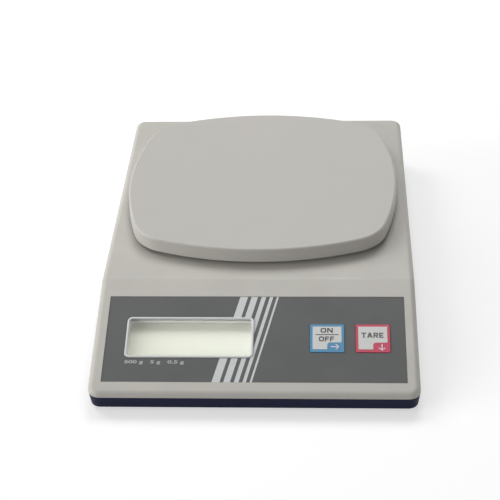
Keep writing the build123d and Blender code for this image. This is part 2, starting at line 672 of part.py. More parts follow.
# Keys, each with a flange behind the panel, a stem and the pin of its switch
for key_name, key_x in KEYS.items():
    place = (key_x, -KEY_DROP)
    with BuildPart() as key:
        block(
            panel(KEY_FLANGE_DEPTH),
            place,
            (KEY_WIDTH, KEY_LENGTH),
            KEY_FLANGE_DEPTH + KEY_PROUD,
            radius=KEY_CORNER,
        )
        block(
            panel(KEY_FLANGE_DEPTH + KEY_FLANGE_THICKNESS),
            place,
            (KEY_WIDTH + 2 * KEY_FLANGE, KEY_LENGTH + 2 * KEY_FLANGE),
            KEY_FLANGE_THICKNESS,
            radius=KEY_CORNER,
        )
        stem_length = SWITCH_DEPTH - KEY_FLANGE_DEPTH
        column(panel(SWITCH_DEPTH - PLUNGER_REACH), [place], KEY_STEM_RADIUS, stem_length)
    finish(key, f"{key_name}_key")

    with BuildPart() as plunger:
        sunk = PLUNGER_BORE - KEY_TRAVEL - PART_GAP
        column(panel(SWITCH_DEPTH + sunk), [place], PLUNGER_RADIUS, sunk + PLUNGER_REACH)
    finish(plunger, f"{key_name}_plunger")

    with BuildPart() as switch:
        block(panel(BOARD_DEPTH), place, (SWITCH_SIZE, SWITCH_SIZE), SWITCH_HEIGHT)
        bore = PLUNGER_RADIUS + PLUNGER_FIT
        column(panel(SWITCH_DEPTH + PLUNGER_BORE), [place], bore, PLUNGER_BORE, mode=Mode.SUBTRACT)
    finish(switch, f"{key_name}_switch")


def plate_outline(inset):
    """Outline of the weighing plate in plan: four bowed sides with round corners, drawn in by inset."""
    bow = PLATE_BOW - inset
    across = PLATE_BOW - PLATE_WIDTH / 2
    along = PLATE_BOW - PLATE_DEPTH / 2
    with BuildSketch() as outline:
        with Locations((-across, PLATE_Y)):
            Circle(bow)
        for centre in ((across, PLATE_Y), (0, PLATE_Y - along), (0, PLATE_Y + along)):
            with Locations(centre):
                Circle(bow, mode=Mode.INTERSECT)
        fillet(outline.vertices(), PLATE_CORNER - inset)
    return outline.sketch


# Weighing plate: drafted skirt, with cups and ribs on its underside
with BuildPart() as weighing_plate:
    foot_outline = level(PLATE_BOTTOM) * plate_outline(-PLATE_FLARE)
    extrude(foot_outline, amount=PLATE_SKIRT, taper=degrees(atan2(PLATE_FLARE, PLATE_SKIRT)))
    fillet(weighing_plate.faces().sort_by(Axis.Z)[-1].edges(), PLATE_EDGE_RADIUS)
    hollow = level(PLATE_BOTTOM) * plate_outline(PLATE_WALL)
    extrude(hollow, amount=PLATE_SKIRT - PLATE_WALL, mode=Mode.SUBTRACT)
    with BuildSketch(level(PLATE_INSIDE - PLATE_RIB_DEPTH)) as ribs:
        for post in POSTS[:2]:
            SlotCenterPoint((0, PLATE_Y), post, PLATE_RIB)
    extrude(ribs.sketch, amount=PLATE_RIB_DEPTH)
    cup = BUMPER_RADIUS + BUMPER_FIT
    column(level(PLATE_INSIDE - CUP_DEPTH), POSTS, cup + CUP_WALL, CUP_DEPTH)
    column(level(PLATE_INSIDE - CUP_DEPTH), POSTS, cup, CUP_DEPTH, mode=Mode.SUBTRACT)
finish(weighing_plate, "weighing_plate")

# Load cell: bar with a dumbbell eye, its gauges covered above and below
with BuildPart() as load_cell:
    block(level(CELL_HEIGHT), (0, PLATE_Y), (CELL_LENGTH, CELL_SIZE), CELL_SIZE)
    with BuildSketch(Plane.XZ.offset(-PLATE_Y)) as eye:
        with Locations(*[(x, CELL_HEIGHT + CELL_SIZE / 2) for x in (-CELL_EYE_X, CELL_EYE_X)]):
            Circle(CELL_EYE_RADIUS)
        with Locations((0, CELL_HEIGHT + CELL_SIZE / 2)):
            Rectangle(2 * CELL_EYE_X, CELL_SLOT)
    extrude(eye.sketch, amount=CELL_SIZE, both=True, mode=Mode.SUBTRACT)
    bore = M4_RADIUS + SCREW_FIT
    free_points = [(x, PLATE_Y) for x in CELL_SCREWS_X]
    column(level(CELL_HEIGHT), cell_points, bore, CELL_BORE_DEPTH, mode=Mode.SUBTRACT)
    column(level(CELL_TOP), free_points, bore, -CELL_BORE_DEPTH, mode=Mode.SUBTRACT)
finish(load_cell, "load_cell")

with BuildPart() as gauge_covers:
    for low in (CELL_HEIGHT - GAUGE_THICKNESS, CELL_TOP):
        block(level(low), (0, PLATE_Y), (GAUGE_LENGTH, GAUGE_WIDTH), GAUGE_THICKNESS, radius=GAUGE_CORNER)
finish(gauge_covers, "gauge_covers")

with BuildPart() as cell_spacer:
    block(level(CELL_HEIGHT - SPACER), (pedestal_x, PLATE_Y), (CELL_PAD, CELL_SIZE), SPACER)
    column(level(CELL_HEIGHT - SPACER), cell_points, bore, SPACER, mode=Mode.SUBTRACT)
finish(cell_spacer, "cell_spacer")

with BuildPart() as cell_screws:
    column(level(CELL_HEAD_SEAT - M4_HEAD_HEIGHT), cell_points, M4_HEAD_RADIUS, M4_HEAD_HEIGHT)
    reach = CELL_HEIGHT + CELL_BORE_DEPTH - BORE_SPARE - CELL_HEAD_SEAT
    column(level(CELL_HEAD_SEAT), cell_points, M4_RADIUS, reach)
finish(cell_screws, "cell_screws")

with BuildPart() as overload_screw:
    stop_low = UNDERSIDE + BASE_CHAMFER
    column(level(stop_low), stop, M4_RADIUS, CELL_HEIGHT - OVERLOAD_GAP - stop_low)
finish(overload_screw, "overload_screw")

with BuildPart() as overload_nut:
    with BuildSketch(level(FLOOR_TOP + OVERLOAD_BOSS)):
        with Locations(*stop):
            RegularPolygon(OVERLOAD_NUT_WIDTH / 2, 6, major_radius=False)
            Circle(bore, mode=Mode.SUBTRACT)
    extrude(amount=OVERLOAD_NUT)
finish(overload_nut, "overload_nut")

# Load carrier: four arms on the cell's free end, with a post on each
hub_x = CELL_LENGTH / 2 - CELL_PAD / 2
with BuildPart() as load_carrier:
    with BuildSketch(level(CARRIER_HEIGHT)) as arms:
        for post in POSTS[:2]:
            SlotCenterPoint((0, PLATE_Y), post, CARRIER_ARM)
        with Locations((0, PLATE_Y)):
            Circle(CARRIER_DISC)
            Circle(CARRIER_EYE, mode=Mode.SUBTRACT)
        with Locations((hub_x, PLATE_Y)):
            Rectangle(CARRIER_HUB_LENGTH, CARRIER_HUB_WIDTH)
    extrude(arms.sketch, amount=CARRIER_THICKNESS)
    with BuildSketch(level(CARRIER_TOP)) as arm_ribs:
        for post in POSTS[:2]:
            SlotCenterPoint((0, PLATE_Y), post, CARRIER_RIB)
        with Locations((0, PLATE_Y)):
            hub_room = (2 * hub_x + CARRIER_HUB_LENGTH, CARRIER_HUB_WIDTH + 2 * CARRIER_ARM)
            Rectangle(*hub_room, mode=Mode.SUBTRACT)
    extrude(arm_ribs.sketch, amount=CARRIER_RIB_HEIGHT)
    column(level(CARRIER_HEIGHT), POSTS, POST_FOOT, CARRIER_THICKNESS)
    column(level(CARRIER_HEIGHT), POSTS, POST_RADIUS, POST_TOP - CARRIER_HEIGHT)
    stub_bore = BUMPER_STUB_RADIUS + SCREW_FIT
    column(level(POST_TOP), POSTS, stub_bore, -BUMPER_STUB - BORE_SPARE, mode=Mode.SUBTRACT)
    column(level(CARRIER_HEIGHT), free_points, bore, CARRIER_THICKNESS, mode=Mode.SUBTRACT)
    head_bore = M4_HEAD_RADIUS + HEAD_FIT
    column(level(CARRIER_TOP), free_points, head_bore, -CARRIER_THICKNESS / 2, mode=Mode.SUBTRACT)
finish(load_carrier, "load_carrier")

with BuildPart() as carrier_spacer:
    block(level(CELL_TOP), (hub_x, PLATE_Y), (CELL_PAD, CELL_SIZE), SPACER)
    column(level(CELL_TOP), free_points, bore, SPACER, mode=Mode.SUBTRACT)
finish(carrier_spacer, "carrier_spacer")

with BuildPart() as carrier_screws:
    seat_height = CARRIER_TOP - CARRIER_THICKNESS / 2
    tip = CELL_TOP - CELL_BORE_DEPTH + BORE_SPARE
    column(level(tip), free_points, M4_RADIUS, seat_height - tip)
    column(level(seat_height), free_points, M4_HEAD_RADIUS, M4_HEAD_HEIGHT)
finish(carrier_screws, "carrier_screws")

for bumper_name, place in BUMPERS.items():
    with BuildPart() as bumper:
        column(level(POST_TOP - BUMPER_STUB), [place], BUMPER_STUB_RADIUS, BUMPER_STUB)
        column(level(POST_TOP), [place], BUMPER_RADIUS, PLATE_INSIDE - POST_TOP)
    finish(bumper, bumper_name)

# Battery, its clip and the cover of its bay
with BuildPart() as battery:
    block(
        level(BATTERY_HEIGHT_FROM),
        (BATTERY_X, BATTERY_Y),
        (BATTERY_LENGTH, BATTERY_WIDTH),
        BATTERY_HEIGHT,
    )
    fillet(battery.edges().filter_by(Axis.X), BATTERY_CORNER)
    terminal_height = BATTERY_HEIGHT_FROM + BATTERY_HEIGHT / 2
    for side, radius in zip((-1, 1), TERMINAL_RADII):
        stud = (BATTERY_Y + side * TERMINAL_PITCH / 2, terminal_height)
        column(Plane.YZ.offset(BATTERY_END), [stud], radius, TERMINAL_HEIGHT)
finish(battery, "battery")

with BuildPart() as battery_snap:
    snap_start = BATTERY_END + SNAP_FIT
    block(
        Plane.YZ.offset(snap_start),
        (BATTERY_Y, terminal_height),
        (SNAP_WIDTH, SNAP_HEIGHT),
        SNAP_THICKNESS,
        radius=BATTERY_CORNER,
    )
    for side, radius in zip((-1, 1), TERMINAL_RADII):
        stud = (BATTERY_Y + side * TERMINAL_PITCH / 2, terminal_height)
        stud_bore = radius + SNAP_FIT
        column(Plane.YZ.offset(snap_start), [stud], stud_bore, TERMINAL_HEIGHT, mode=Mode.SUBTRACT)
finish(battery_snap, "battery_snap")

cover_width = BAY_LENGTH + 2 * COVER_RIM - 2 * COVER_FIT
cover_front = BAY_REAR - BAY_DEPTH - COVER_RIM + COVER_FIT
with BuildPart() as battery_cover:
    cover_size = (cover_width, BAY_REAR - cover_front)
    block(level(UNDERSIDE), (0, (BAY_REAR + cover_front) / 2), cover_size, COVER_PLATE)
    step_front = BAY_REAR - BAY_DEPTH + COVER_FIT
    block(
        level(UNDERSIDE + COVER_PLATE),
        (0, (BAY_REAR + step_front) / 2),
        (BAY_LENGTH - 2 * COVER_FIT, BAY_REAR - step_front),
        COVER_STEP,
    )
    tab_low = UNDERSIDE + COVER_PLATE + COVER_LIFT / 2
    for tab_x in (-TAB_X, TAB_X):
        tab = (tab_x, BAY_REAR + TAB_REACH / 2 - TAB_THICKNESS / 2)
        block(level(tab_low), tab, (TAB_WIDTH, TAB_REACH + TAB_THICKNESS), TAB_THICKNESS)
    latch = (0, step_front + LATCH_THICKNESS / 2 + COVER_FIT)
    block(level(COVER_TOP), latch, (LATCH_WIDTH, LATCH_THICKNESS), LATCH_HEIGHT)
    # Finger grip: a shallow round hollow by the latch, with ridges left across it
    with BuildSketch(level(UNDERSIDE)) as grip:
        with Locations((0, step_front + LATCH_GRIP_RADIUS)):
            Circle(LATCH_GRIP_RADIUS)
            with GridLocations(0, LATCH_GRIP_PITCH, 1, int(2 * LATCH_GRIP_RADIUS / LATCH_GRIP_PITCH)):
                Rectangle(2 * LATCH_GRIP_RADIUS, LATCH_GRIP_RIDGE, mode=Mode.SUBTRACT)
    extrude(grip.sketch, amount=LATCH_GRIP_DEPTH, mode=Mode.SUBTRACT)
finish(battery_cover, "battery_cover")

# Rear socket for the mains adapter
socket_rear = socket_front + SOCKET_LENGTH
barrel_length = DEPTH / 2 - BARREL_RECESS - socket_rear
with BuildPart() as power_socket:
    block(
        level(seat),
        (SOCKET_X, socket_front + SOCKET_LENGTH / 2),
        (SOCKET_WIDTH, SOCKET_LENGTH),
        SOCKET_BODY_HEIGHT,
    )
    mouth = [(SOCKET_X, SOCKET_HEIGHT)]
    column(Plane.XZ.offset(-socket_rear), mouth, BARREL_RADIUS, -barrel_length)
    mouth_plane = Plane.XZ.offset(-socket_rear - barrel_length)
    column(mouth_plane, mouth, BARREL_BORE, BARREL_BORE_DEPTH, mode=Mode.SUBTRACT)
    column(mouth_plane.offset(BARREL_RECESS), mouth, BARREL_PIN, BARREL_BORE_DEPTH)
finish(power_socket, "power_socket")

# Rubber feet
for foot_name, place in FEET.items():
    with BuildPart() as foot:
        column(level(0), [place], FOOT_RADIUS, UNDERSIDE + FOOT_SEAT)
        fillet(foot.faces().sort_by(Axis.Z)[0].edges(), FOOT_EDGE)
    finish(foot, foot_name)

# Shell screws
with BuildPart() as housing_screws:
    for points, join, bite in SHELL_SCREWS:
        column(level(HEAD_SEAT - M3_HEAD_HEIGHT), points, M3_HEAD_RADIUS, M3_HEAD_HEIGHT)
        column(level(HEAD_SEAT), points, M3_RADIUS, join + bite - HEAD_SEAT)
finish(housing_screws, "housing_screws")


def lead(points, radius, bend):
    """Round lead along straight runs joined by tangent arcs."""
    with BuildPart() as wire:
        with BuildLine() as route:
            FilletPolyline(*points, radius=bend)
        with BuildSketch(Plane(origin=route.line @ 0, z_dir=route.line % 0)):
            Circle(radius)
        sweep()
    return wire.part


def plug_entry(plug_x, depth):
    """Point on the rear face of a plug under the board, and one straight out from it."""
    plane = panel(BOARD_UNDER + depth)
    on_face = plane.from_local_coords(Vector(plug_x, PLUG_LENGTH / 2 - PLUG_DROP))
    away = plane.from_local_coords(Vector(plug_x, PLUG_LENGTH / 2 + PLUG_LEAD_OUT - PLUG_DROP))
    return on_face, away


# Leads, which lie on fixed routes inside the housing
with BuildPart() as cell_cable:
    face, away = plug_entry(PLUG_X[0], PLUG_HEIGHT / 2)
    cell_end = -CELL_LENGTH / 2
    cable_height = CELL_HEIGHT + CELL_SIZE / 3
    route = [(cell_end, PLATE_Y, cable_height), (cell_end - CABLE_OUT, PLATE_Y, cable_height)]
    route += [(cell_end - CABLE_OUT, BAY_REAR, cable_height), away, face]
    add(lead(route, CABLE_RADIUS, CABLE_BEND))
finish(cell_cable, "cell_cable")

with BuildPart() as socket_leads:
    for turn in (-1, 1):
        offset = turn * LEAD_GAP / 2
        face, away = plug_entry(PLUG_X[2] + offset, PLUG_HEIGHT / 2)
        high = SOCKET_HEIGHT + LEAD_GAP
        low = FLOOR_TOP + RIB_HEIGHT + 2 * LEAD_RADIUS
        out_y = socket_front - SOCKET_LEAD_OUT + offset
        down_y = out_y - SOCKET_LEAD_FALL
        side_x = WIDTH / 2 - SOCKET_LEAD_EDGE + offset
        route = [(SOCKET_X + offset, socket_front, high), (SOCKET_X + offset, out_y, high)]
        route += [(SOCKET_X + SOCKET_LEAD_ASIDE + offset, down_y, low)]
        route += [(side_x - SOCKET_LEAD_SLANT, down_y - SOCKET_LEAD_SLANT, low)]
        route += [(side_x, BAY_REAR, low), away, face]
        add(lead(route, LEAD_RADIUS, LEAD_BEND))
finish(socket_leads, "socket_leads")

with BuildPart() as battery_leads:
    for turn in (-1, 1):
        offset = turn * LEAD_GAP / 2
        face, away = plug_entry(PLUG_X[1] + offset, PLUG_HEIGHT / 2)
        snap_end = snap_start + SNAP_THICKNESS
        height = BAY_TOP / 2 + LEAD_GAP / 2 + offset
        gate_x = lead_gate[0]
        route = [(snap_end, BATTERY_Y, height), (gate_x, BATTERY_Y, height)]
        route += [(gate_x, BAY_REAR - BAY_DEPTH - BATTERY_LEAD_OUT, height), away, face]
        add(lead(route, LEAD_RADIUS, BATTERY_LEAD_BEND))
finish(battery_leads, "battery_leads")
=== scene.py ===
import json
from math import atan2, cos, pi, radians, sin

import bpy
import numpy as np
from mathutils import Matrix, Vector


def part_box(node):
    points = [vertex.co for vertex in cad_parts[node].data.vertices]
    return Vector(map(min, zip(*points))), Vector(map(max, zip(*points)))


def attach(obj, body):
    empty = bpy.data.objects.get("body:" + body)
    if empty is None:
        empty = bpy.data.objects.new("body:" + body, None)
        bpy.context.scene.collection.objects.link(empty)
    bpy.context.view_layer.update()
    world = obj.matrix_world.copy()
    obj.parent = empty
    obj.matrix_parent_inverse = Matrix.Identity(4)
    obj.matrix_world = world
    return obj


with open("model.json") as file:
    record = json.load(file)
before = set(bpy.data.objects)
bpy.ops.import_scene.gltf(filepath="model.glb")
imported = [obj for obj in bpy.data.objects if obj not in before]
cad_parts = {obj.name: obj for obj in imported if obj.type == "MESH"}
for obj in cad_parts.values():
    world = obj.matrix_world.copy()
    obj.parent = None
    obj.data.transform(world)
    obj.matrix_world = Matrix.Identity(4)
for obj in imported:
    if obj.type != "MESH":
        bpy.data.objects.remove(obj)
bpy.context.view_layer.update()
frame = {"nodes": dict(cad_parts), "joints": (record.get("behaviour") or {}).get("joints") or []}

# Precision scale, in metres: X to the right, Y to the rear, Z up from the table.
nodes = frame["nodes"]
MM = 0.001

# The sloping panel, read from the press direction of the keys and from the front sheet
press = next(joint for joint in frame["joints"] if joint["name"] == "on_off_press")["axis"]
SLOPE = atan2(press[1], -press[2])
DOWN_SLOPE = np.array((0.0, -cos(SLOPE), -sin(SLOPE)))
OUT_OF_PANEL = np.array((0.0, -sin(SLOPE), cos(SLOPE)))
SHEET_THICKNESS = 0.4 * MM
sheet_low, sheet_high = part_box("control_overlay")
SHEET_CORNER = np.array((sheet_low.x, sheet_high.y - SHEET_THICKNESS * sin(SLOPE), sheet_high.z))

# Print on the front sheet, in millimetres from its upper left corner
STRIPE_LEAN = 0.2355
STRIPES = ((69.6, 4.1), (75.6, 3.4), (81.0, 2.4), (85.4, 1.75), (89.1, 1.05))
PRINT_EDGE = 0.06
RATING_PLACE = (26.5, 42.2)
RATING_SIZE = (31.0, 2.6)
RATING_WEIGHT = 0.1
RATING_FONT_SIZE = 4.0

# Silver line over the window's rim: its outer size, and its section seen from the sheet's face
RIM_SIZE = (67.0 * MM, 25.6 * MM)
RIM_CORNER = 2.8 * MM
RIM_WIDTH = 1.1 * MM
RIM_TOP = 0.45 * MM
RIM_EDGE = 0.35 * MM
RIM_SKIRT = 1.0 * MM

# Frame between the pane and the display glass, in white plastic: its white is painted light that lightens the
# shaded walls round the display
FRAME_SIZE = (65.7 * MM, 24.3 * MM)
FRAME_CORNER = 2.0 * MM
FRAME_WALL = 0.4 * MM
FRAME_GAP = 0.05 * MM

# Print on the keys, in millimetres from a key's centre, across and down
KEY_LIFT = 0.3 * MM
KEY_FIELD = (-7.5, -7.3, 7.5, 7.0)
KEY_TAB = (0.1, 2.75)
KEY_TAB_CORNER = 1.6
ARROWS = {"on_off": ((4.1, 5.4), 0), "tare": ((4.6, 5.6), 1)}
ARROW_SHAFT = 2.0
ARROW_BARB = 1.55
ARROW_THICK = 0.3
BAR = ((-6.0, -2.45), (6.0, -2.45), (6.0, -1.9), (-6.0, -1.9))
WORDS = (
    ("on_word", "ON", "on_off", (-0.2, -4.9), (6.4, 3.0)),
    ("off_word", "OFF", "on_off", (-0.3, 0.55), (7.9, 3.1)),
    ("tare_word", "TARE", "tare", (-0.2, -1.9), (11.5, 3.2)),
)

# Half the thickness of a layer of ink
INK = 0.04 * MM

# Block capitals: widths as shares of one another, lengths in millimetres, slants and bars as shares
LETTER_WIDTHS = {"O": 1.0, "N": 0.98, "F": 0.8, "T": 0.92, "A": 1.05, "R": 0.93, "E": 0.82}
LETTER_GAP = 0.42
LETTER_STROKE = 0.7
SLANT_STROKE = 1.25
ROUND_OUTER = 0.9
ROUND_INNER = 0.45
ARM_SHARE = 0.88
PEAK_SHARE = 0.65
BAR_SHARE = 0.2
BOWL_SHARE = 0.35
BOWL_OUTER = 0.85
BOWL_INNER = 0.3
LEG_SHARES = (0.42, 0.72)

# Painted shade in the cross recesses of the screws on the underside, drawn as flat dark crosses: the reach of
# an arm by node, and half its width
SHADE_CROSS_REACH = {"housing_screws": 1.7, "cell_screws": 2.3}
SHADE_CROSS_HALF = 0.3
SAME_SPOT = 0.001 * MM

# Camera, as fitted to the photograph's edges
CAMERA_PLACE = (0.0362, -0.6410, 0.4660)
CAMERA_PITCH = 0.6111
CAMERA_YAW = -0.0669
CAMERA_ROLL = 0.0385
CAMERA_LENS = 97.75


def on_face(face, across, down, lift=0.0):
    """Points over a flat face: across and down from its origin, lifted square off it."""
    across, down, lift = np.broadcast_arrays(across, down, lift)
    origin, right, below, out = face
    return origin + across[..., None] * right + down[..., None] * below + lift[..., None] * out


PANEL = (SHEET_CORNER, np.array((1.0, 0.0, 0.0)), DOWN_SLOPE, OUT_OF_PANEL)


def panel_place(point):
    """How far across and down the panel a point of the frame lies."""
    offset = np.array(point) - SHEET_CORNER
    return offset[0], offset @ DOWN_SLOPE


# Node materials


def new_material(name):
    """An empty node material with a Principled shader: its tree, the shader and Object coordinates."""
    material = bpy.data.materials.new(name)
    material.use_nodes = True
    tree = material.node_tree
    shader = tree.nodes["Principled BSDF"]
    place = tree.nodes.new("ShaderNodeTexCoord").outputs["Object"]
    return material, tree, shader, place


def calc(tree, operation, *values, clamp=False):
    """One Math node over sockets and numbers."""
    node = tree.nodes.new("ShaderNodeMath")
    node.operation = operation
    node.use_clamp = clamp
    for socket, value in zip(node.inputs, values):
        if isinstance(value, bpy.types.NodeSocket):
            tree.links.new(value, socket)
        else:
            socket.default_value = value
    return node.outputs[0]


def along(tree, place, direction):
    """Distance of a point along a direction, in metres."""
    node = tree.nodes.new("ShaderNodeVectorMath")
    node.operation = "DOT_PRODUCT"
    tree.links.new(place, node.inputs[0])
    node.inputs[1].default_value = direction
    return node.outputs["Value"]


def noise(tree, place, size, detail=2.0, roughness=0.5):
    """Noise whose lumps are about size metres across."""
    node = tree.nodes.new("ShaderNodeTexNoise")
    tree.links.new(place, node.inputs["Vector"])
    node.inputs["Scale"].default_value = 1.0 / size
    node.inputs["Detail"].default_value = detail
    node.inputs["Roughness"].default_value = roughness
    return node.outputs["Fac"]


def spread(tree, value, low, high):
    """Noise, which stays near one half, stretched to run from low to high."""
    node = tree.nodes.new("ShaderNodeMapRange")
    tree.links.new(value, node.inputs["Value"])
    node.inputs["From Min"].default_value = 0.3
    node.inputs["From Max"].default_value = 0.7
    node.inputs["To Min"].default_value = low
    node.inputs["To Max"].default_value = high
    return node.outputs["Result"]


def blend_colour(tree, share, first, second):
    """Colour that goes from first to second with share."""
    node = tree.nodes.new("ShaderNodeMix")
    node.data_type = "RGBA"
    for socket, value in ((node.inputs[0], share), (node.inputs[6], first), (node.inputs[7], second)):
        if isinstance(value, bpy.types.NodeSocket):
            tree.links.new(value, socket)
        elif isinstance(value, (int, float)):
            socket.default_value = value
        else:
            socket.default_value = (*value, 1.0)
    return node.outputs[2]


def bump(tree, shader, height, depth, strength=1.0):
    """Fine relief of the surface, depth metres high."""
    node = tree.nodes.new("ShaderNodeBump")
    node.inputs["Strength"].default_value = strength
    node.inputs["Distance"].default_value = depth
    tree.links.new(height, node.inputs["Height"])
    tree.links.new(node.outputs["Normal"], shader.inputs["Normal"])


def linear(red, green, blue):
    """Colour given as screen values of 0 to 255, as the linear one that a shader takes."""
    screen = np.array((red, green, blue)) / 255.0
    return tuple(np.where(screen < 0.04045, screen / 12.92, ((screen + 0.055) / 1.055) ** 2.4))


def shade(colour, factor):
    """The same colour, lighter or darker."""
    return tuple(min(1.0, part * factor) for part in colour)


def moulded(name, colour, gloss, grain, depth, mottle=0.03, shine=0.5, wear=0.05):
    """Moulded plastic with a fine spark texture, faint cloudiness and uneven gloss."""
    material, tree, shader, place = new_material(name)
    shader.inputs["Specular IOR Level"].default_value = shine
    cloud = noise(tree, place, 28 * MM, 3.0)
    share = spread(tree, cloud, 0.0, 1.0)
    tone = blend_colour(tree, share, shade(colour, 1 - mottle), shade(colour, 1 + mottle))
    tree.links.new(tone, shader.inputs["Base Color"])
    worn = noise(tree, place, 9 * MM, 4.0)
    tree.links.new(spread(tree, worn, gloss - wear, gloss + wear), shader.inputs["Roughness"])
    bump(tree, shader, noise(tree, place, grain, 2.0), depth)
    return material


housing_grey = moulded("housing_grey", linear(189, 186, 179), 0.5, 0.45 * MM, 0.02 * MM)
plate_grey = moulded("plate_grey", linear(186, 183, 177), 0.44, 0.5 * MM, 0.012 * MM, mottle=0.01, wear=0.02)
base_blue = moulded("base_blue", linear(30, 33, 58), 0.5, 0.5 * MM, 0.03 * MM, shine=0.1)
black_rubber = moulded("black_rubber", linear(42, 42, 43), 0.75, 0.8 * MM, 0.03 * MM, mottle=0.1)
black_plastic = moulded("black_plastic", linear(38, 38, 40), 0.4, 0.4 * MM, 0.01 * MM)
# Own white of the display holder, and painted light where it colours the frame round the display
white_plastic_and_painted_light = moulded("white_plastic_and_painted_light", linear(226, 225, 220), 0.45, 0.4 * MM, 0.01 * MM)
nylon = moulded("nylon", linear(224, 220, 206), 0.5, 0.3 * MM, 0.01 * MM)
grey_plastic = moulded("grey_plastic", linear(120, 120, 122), 0.45, 0.3 * MM, 0.01 * MM)
silicone = moulded("silicone", linear(232, 232, 228), 0.35, 3 * MM, 0.15 * MM)
jacket_red = moulded("jacket_red", linear(170, 32, 30), 0.4, 1.5 * MM, 0.02 * MM)
jacket_black = moulded("jacket_black", linear(36, 36, 37), 0.4, 1.5 * MM, 0.02 * MM)
jacket_grey = moulded("jacket_grey", linear(150, 150, 150), 0.45, 1.5 * MM, 0.02 * MM)


def metal(name, colour, gloss, stretch, streak=0.5 * MM):
    """Metal with fine scratches drawn out along one direction by stretch, a factor for X, Y and Z."""
    material, tree, shader, place = new_material(name)
    shader.inputs["Metallic"].default_value = 1.0
    drawn = tree.nodes.new("ShaderNodeMapping")
    drawn.inputs["Scale"].default_value = stretch
    tree.links.new(place, drawn.inputs["Vector"])
    lines = noise(tree, drawn.outputs["Vector"], streak, 3.0)
    stains = noise(tree, place, 12 * MM, 3.0)
    tone = blend_colour(tree, spread(tree, stains, 0.0, 1.0), shade(colour, 0.88), colour)
    tree.links.new(tone, shader.inputs["Base Color"])
    tree.links.new(spread(tree, lines, gloss - 0.08, gloss + 0.1), shader.inputs["Roughness"])
    bump(tree, shader, lines, 0.01 * MM, 0.6)
    return material


screw_steel = metal("screw_steel", linear(196, 198, 200), 0.3, (1.0, 1.0, 1.0), 0.3 * MM)
cell_aluminium = metal("cell_aluminium", linear(214, 216, 219), 0.38, (0.05, 1.0, 1.0))
cast_aluminium = metal("cast_aluminium", linear(186, 188, 190), 0.55, (1.0, 1.0, 1.0), 0.6 * MM)
battery_steel = metal("battery_steel", linear(84, 87, 93), 0.35, (0.1, 1.0, 1.0))
contact_metal = metal("contact_metal", linear(214, 206, 180), 0.25, (1.0, 1.0, 1.0), 0.3 * MM)


def printed_sheet():
    """Dark grey satin film with five light stripes that lean to the right toward the top."""
    material, tree, shader, place = new_material("printed_sheet")
    across = calc(tree, "SUBTRACT", along(tree, place, (1.0, 0.0, 0.0)), SHEET_CORNER[0])
    start = float(SHEET_CORNER @ DOWN_SLOPE)
    down = calc(tree, "SUBTRACT", along(tree, place, DOWN_SLOPE), start)
    slanted = calc(tree, "DIVIDE", calc(tree, "MULTIPLY_ADD", down, STRIPE_LEAN, across), MM)
    inked = 0.0
    for left, width in STRIPES:
        off_middle = calc(tree, "ABSOLUTE", calc(tree, "SUBTRACT", slanted, left + width / 2))
        inside = calc(tree, "SUBTRACT", width / 2, off_middle)
        stripe = calc(tree, "MULTIPLY_ADD", inside, 1.0 / PRINT_EDGE, 0.5, clamp=True)
        inked = calc(tree, "MAXIMUM", inked, stripe)
    cloud = spread(tree, noise(tree, place, 22 * MM, 3.0), 0.0, 1.0)
    film = blend_colour(tree, cloud, linear(96, 97, 97), linear(101, 102, 102))
    speckle = spread(tree, noise(tree, place, 0.35 * MM, 1.0), 0.0, 1.0)
    silver = blend_colour(tree, speckle, linear(205, 208, 208), linear(218, 221, 221))
    tree.links.new(blend_colour(tree, inked, film, silver), shader.inputs["Base Color"])
    shader.inputs["Specular IOR Level"].default_value = 0.15
    tree.links.new(spread(tree, noise(tree, place, 6 * MM, 3.0), 0.42, 0.5), shader.inputs["Roughness"])
    bump(tree, shader, noise(tree, place, 0.3 * MM, 1.0), 0.006 * MM)
    return material


def ink(name, colour):
    """Screen-printed ink, a little uneven."""
    material, tree, shader, place = new_material(name)
    speckle = spread(tree, noise(tree, place, 0.5 * MM, 2.0), 0.0, 1.0)
    tone = blend_colour(tree, speckle, shade(colour, 0.93), shade(colour, 1.05))
    tree.links.new(tone, shader.inputs["Base Color"])
    tree.links.new(spread(tree, noise(tree, place, 3 * MM, 3.0), 0.4, 0.48), shader.inputs["Roughness"])
    bump(tree, shader, noise(tree, place, 0.3 * MM, 1.0), 0.004 * MM)
    return material


def clear_pane():
    """Clear moulded pane that lets the lamps through."""
    material, tree, shader, place = new_material("clear_pane")
    shader.inputs["Base Color"].default_value = (0.97, 0.98, 0.97, 1.0)
    shader.inputs["Transmission Weight"].default_value = 1.0
    shader.inputs["IOR"].default_value = 1.49
    smears = spread(tree, noise(tree, place, 5 * MM, 4.0), 0.01, 0.05)
    tree.links.new(smears, shader.inputs["Roughness"])
    open_air = tree.nodes.new("ShaderNodeBsdfTransparent")
    ray = tree.nodes.new("ShaderNodeLightPath")
    pick = tree.nodes.new("ShaderNodeMixShader")
    tree.links.new(ray.outputs["Is Shadow Ray"], pick.inputs[0])
    tree.links.new(shader.outputs[0], pick.inputs[1])
    tree.links.new(open_air.outputs[0], pick.inputs[2])
    tree.links.new(pick.outputs[0], tree.nodes["Material Output"].inputs["Surface"])
    return material


def display_face():
    """Reflective display at rest: pale greenish white, with a faint drift from side to side."""
    material, tree, shader, place = new_material("display_face")
    low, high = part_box("display_glass")
    share = calc(tree, "SUBTRACT", along(tree, place, (1.0, 0.0, 0.0)), low.x)
    share = calc(tree, "DIVIDE", share, high.x - low.x, clamp=True)
    cloud = spread(tree, noise(tree, place, 18 * MM, 3.0), -0.15, 0.15)
    share = calc(tree, "ADD", share, cloud, clamp=True)
    tone = blend_colour(tree, share, linear(203, 205, 190), linear(212, 214, 201))
    tree.links.new(tone, shader.inputs["Base Color"])
    tree.links.new(spread(tree, noise(tree, place, 0.4 * MM, 2.0), 0.3, 0.4), shader.inputs["Roughness"])
    return material


